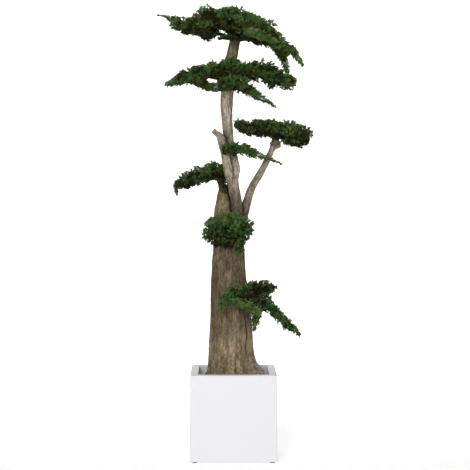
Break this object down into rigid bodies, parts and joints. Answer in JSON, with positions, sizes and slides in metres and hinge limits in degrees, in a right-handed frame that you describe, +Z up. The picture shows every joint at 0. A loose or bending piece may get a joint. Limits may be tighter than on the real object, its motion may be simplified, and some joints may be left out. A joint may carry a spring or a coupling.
{
  "type": "preserved juniper tree in a planter",
  "caption": "Tall cloud-pruned juniper with a broad tapering trunk, boughs and flat pads of foliage, set in a white cube planter.",
  "frame": {"origin": "middle of the planter's footprint on the floor, at the underside of its glides", "axes": "+Z up the tree, +X to the right of the side that shows best, +Y away from that side"},
  "size_m": [0.7551, 0.4479, 2.1332],
  "materials": {
    "white_gel_coat": "white gel coat on a moulded shell, satin",
    "grey_glide": "grey moulded plastic",
    "dark_soil": "dark composted bark and soil",
    "juniper_bark": "weathered juniper wood and fibrous bark",
    "juniper_foliage": "preserved scale-leaved sprays, matt"
  },
  "bodies": {
    "root": {"planter": "white_gel_coat", "glide_front_left": "grey_glide", "glide_front_right": "grey_glide", "glide_back_left": "grey_glide", "glide_back_right": "grey_glide", "soil": "dark_soil", "trunk": "juniper_bark", "right_bough": "juniper_bark", "left_bough": "juniper_bark", "crown_top": "juniper_foliage", "crown_left": "juniper_foliage", "crown_right": "juniper_foliage", "tier_front": "juniper_foliage", "tier_right": "juniper_foliage", "tier_left": "juniper_foliage", "right_pad": "juniper_foliage", "middle_spray": "juniper_foliage", "left_pad": "juniper_foliage", "collar_tuft": "juniper_foliage", "low_spray": "juniper_foliage"}
  },
  "joints": []
}
